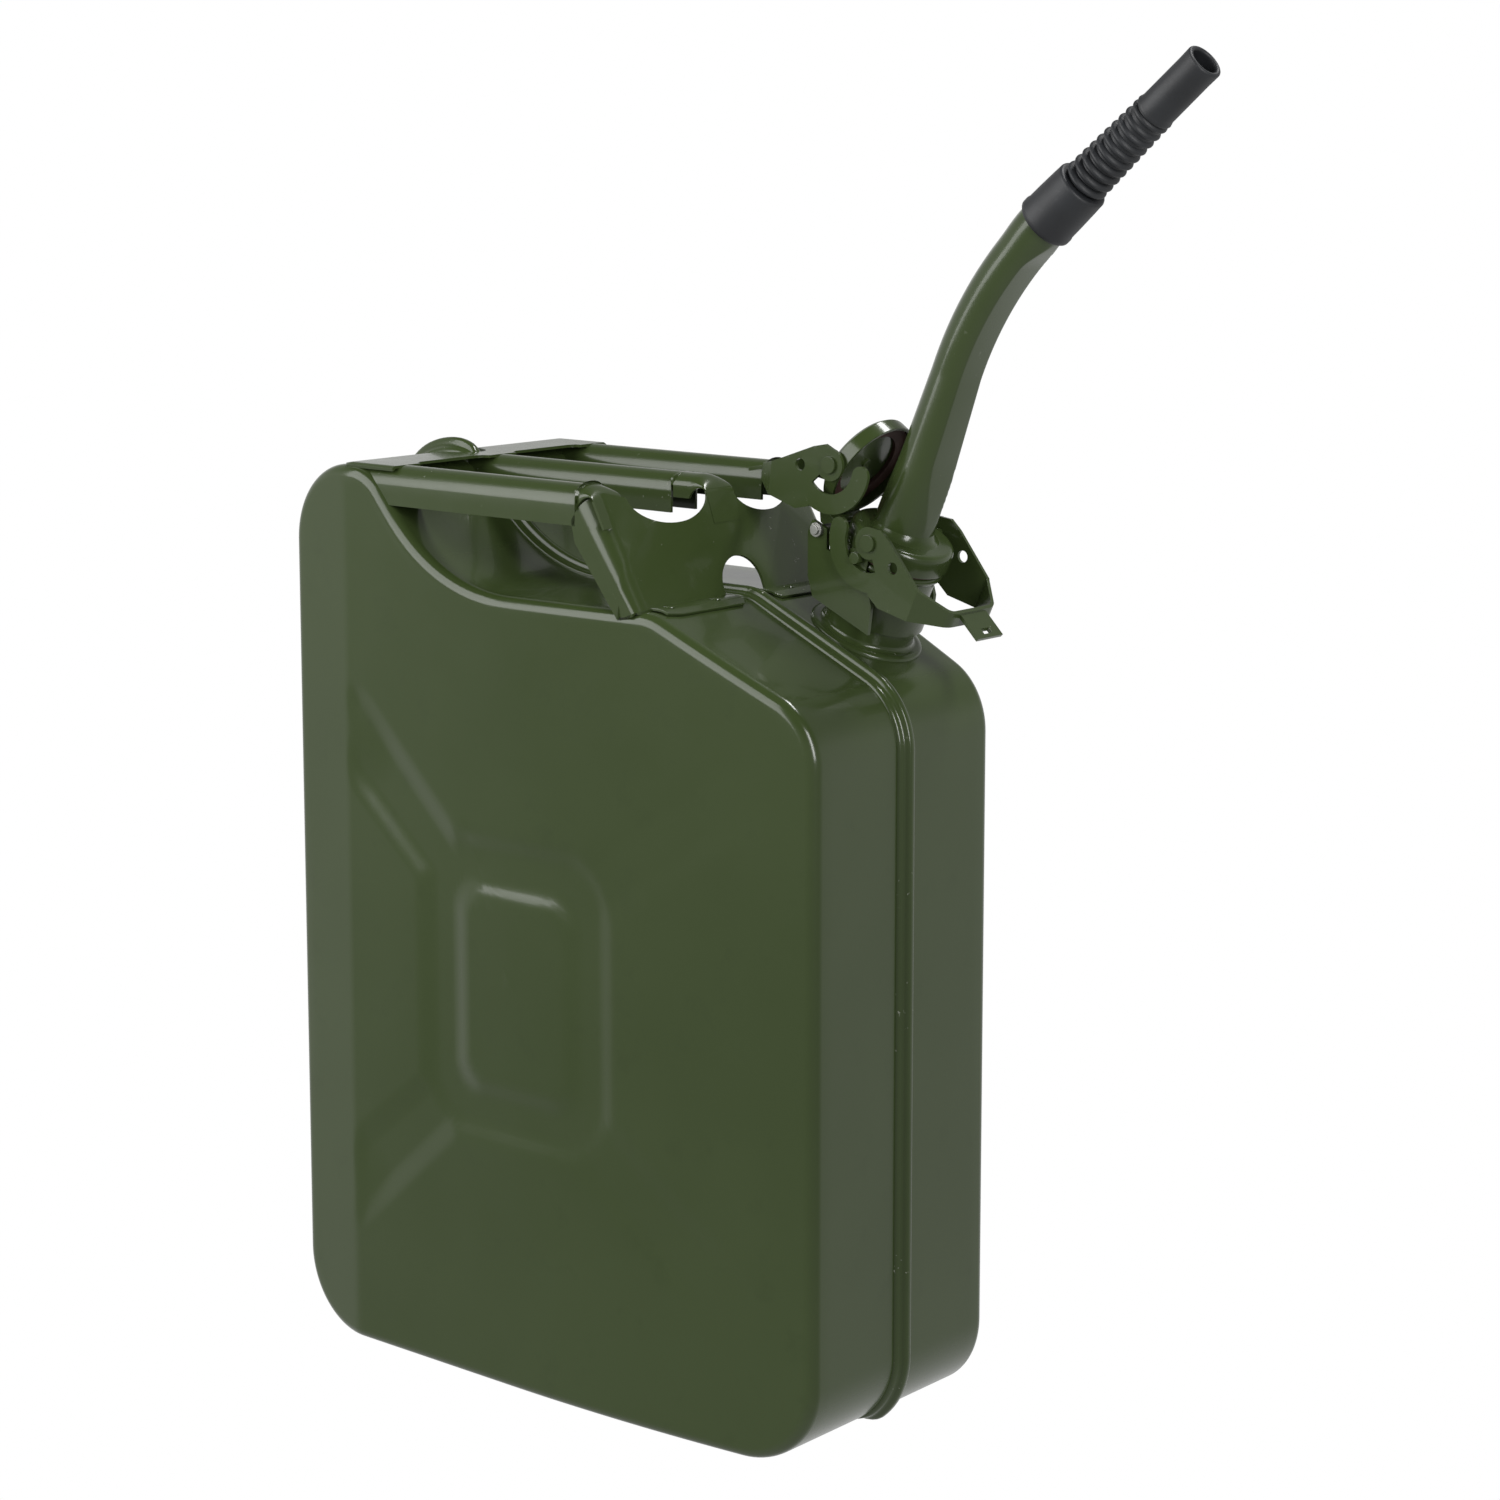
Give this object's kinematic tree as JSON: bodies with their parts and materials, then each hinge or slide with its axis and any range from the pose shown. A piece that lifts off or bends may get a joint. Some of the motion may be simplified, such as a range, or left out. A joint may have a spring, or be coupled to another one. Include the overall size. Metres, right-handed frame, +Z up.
{
  "type": "jerry can",
  "caption": "Pressed steel fuel can with a carrying handle, a flip-back lid and a clamped-on pouring spout with a flexible nozzle.",
  "frame": {"origin": "middle of the base, on the surface the can stands on", "axes": "+X along the can towards the filler and spout end, +Z up, Y through the can's thickness"},
  "size_m": [0.4942, 0.165, 0.6793],
  "materials": {
    "enamel": "glossy baked olive green enamel",
    "inner_steel": "bare steel, slightly dulled",
    "gasket": "dark red-brown fuel-proof rubber",
    "nozzle_plastic": "dark grey-black moulded plastic"
  },
  "bodies": {
    "can": {"shell_left": "enamel", "shell_right": "enamel", "seam": "enamel", "carry_handle": "enamel", "filler_neck": "enamel", "neck_flange": "enamel", "vent_tube": "inner_steel", "closure_yoke": "enamel", "yoke_lugs": "enamel", "lid_hinge_pin": "inner_steel", "spout_base": "enamel", "spout_gasket": "gasket", "spout_pivots": "enamel", "spout_tube": "enamel", "spout_bend": "enamel", "breather_tube": "inner_steel", "strainer": "inner_steel", "nozzle_sleeve": "nozzle_plastic", "nozzle_bellows": "nozzle_plastic"},
    "lid": {"lid_cap": "enamel", "lid_gasket": "gasket", "lid_retainer": "enamel", "lid_hinge_arm": "enamel", "lid_pivots": "enamel"},
    "lid_lever": {"lid_lever": "enamel"},
    "spout_lever": {"spout_lever": "enamel"},
    "nozzle_outlet": {"nozzle_outlet": "nozzle_plastic"}
  },
  "joints": [
    {"name": "lid_hinge", "type": "hinge", "parent": "can", "child": "lid", "pos_m": [0.10801, 0.038, 0.4457], "axis": [0, -1, 0], "range_deg": [-3, 8]},
    {"name": "lid_lever_pivot", "type": "hinge", "parent": "lid", "child": "lid_lever", "pos_m": [0.11757, 0.038, 0.47842], "axis": [0, -1, 0], "range_deg": [-60, 4]},
    {"name": "spout_lever_pivot", "type": "hinge", "parent": "can", "child": "spout_lever", "pos_m": [0.1419, 0.038, 0.44197], "axis": [0, -1, 0], "range_deg": [0, 85]},
    {"name": "nozzle_bend", "type": "hinge", "parent": "can", "child": "nozzle_outlet", "pos_m": [0.26434, 0.038, 0.63249], "axis": [0, 1, 0], "range_deg": [-20, 20], "deforming": ["nozzle_bellows"]}
  ]
}
